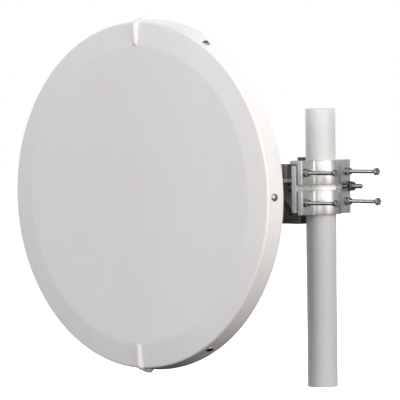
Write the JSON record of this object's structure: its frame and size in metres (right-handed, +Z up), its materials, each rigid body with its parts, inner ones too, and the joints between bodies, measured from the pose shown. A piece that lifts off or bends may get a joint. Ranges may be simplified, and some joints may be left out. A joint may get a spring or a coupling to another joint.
{
  "type": "pole-mounted parabolic dish antenna",
  "caption": "Parabolic dish antenna with a flat radome, held beside a pole by a two-part clamp, with azimuth and elevation adjustment.",
  "frame": {"origin": "middle of the flat foot of the pole", "axes": "+Z up along the pole, the dish looks along -Y and stands on the -X side of the pole"},
  "size_m": [0.7004, 0.3916, 0.745],
  "materials": {
    "radome_shell": "moulded, off-white, satin",
    "reflector_metal": "spun sheet, satin",
    "hub_metal": "machined",
    "clamp_metal": "extruded, satin",
    "yoke_casting": "sand cast, grey",
    "bracket_plate": "grey zinc plate",
    "pole_paint": "light grey paint",
    "plug_plastic": "moulded",
    "dark_fasteners": "dark, in shade",
    "bright_fasteners": "stainless"
  },
  "bodies": {
    "pole_mount": {"pole": "pole_paint", "pole_foot_plug": "plug_plastic", "pole_top_plug": "plug_plastic", "front_jaw_upper": "clamp_metal", "front_jaw_lower": "clamp_metal", "rear_jaw": "clamp_metal", "azimuth_nut_front": "dark_fasteners", "azimuth_nut_rear": "dark_fasteners", "clamp_bolt_upper_left": "bright_fasteners", "clamp_bolt_upper_right": "bright_fasteners", "clamp_bolt_lower_left": "bright_fasteners", "clamp_bolt_lower_right": "bright_fasteners", "clamp_nut_upper_left": "bright_fasteners", "clamp_nut_upper_right": "bright_fasteners", "clamp_nut_lower_left": "bright_fasteners", "clamp_nut_lower_right": "bright_fasteners"},
    "yoke": {"azimuth_yoke": "yoke_casting", "azimuth_pin": "bright_fasteners", "hinge_bolt": "dark_fasteners", "elevation_pivot_bolt": "bright_fasteners", "elevation_pivot_nut": "bright_fasteners", "elevation_lock_bolt": "bright_fasteners", "elevation_lock_nut": "bright_fasteners"},
    "adjuster": {"azimuth_eye_bolt": "dark_fasteners"},
    "dish": {"dish_bracket": "bracket_plate", "hub_plate": "hub_metal", "reflector": "reflector_metal", "radome_face": "radome_shell", "radome_rim": "radome_shell", "feed_port": "hub_metal", "feed_port_cap": "plug_plastic", "hub_bolt_1": "bright_fasteners", "hub_bolt_2": "bright_fasteners", "hub_bolt_3": "bright_fasteners", "hub_bolt_4": "bright_fasteners", "rim_screw_1": "bright_fasteners", "rim_screw_2": "bright_fasteners", "rim_screw_3": "bright_fasteners", "rim_screw_4": "bright_fasteners", "rim_screw_5": "bright_fasteners", "rim_screw_6": "bright_fasteners"}
  },
  "joints": [
    {"name": "azimuth", "type": "hinge", "parent": "pole_mount", "child": "yoke", "pos_m": [-0.05, 0, 0.4004], "axis": [0, 0, 1], "range_deg": [-7, 7]},
    {"name": "adjuster_swivel", "type": "hinge", "parent": "yoke", "child": "adjuster", "pos_m": [-0.05, 0.073, 0.4004], "axis": [0, 0, 1], "range_deg": [-7, 7]},
    {"name": "elevation", "type": "hinge", "parent": "yoke", "child": "dish", "pos_m": [-0.0883, 0, 0.398], "axis": [1, 0, 0], "range_deg": [-8, 8]}
  ],
  "couplings": [
    {"joint": "adjuster_swivel", "follows": "azimuth", "ratio": -1}
  ]
}
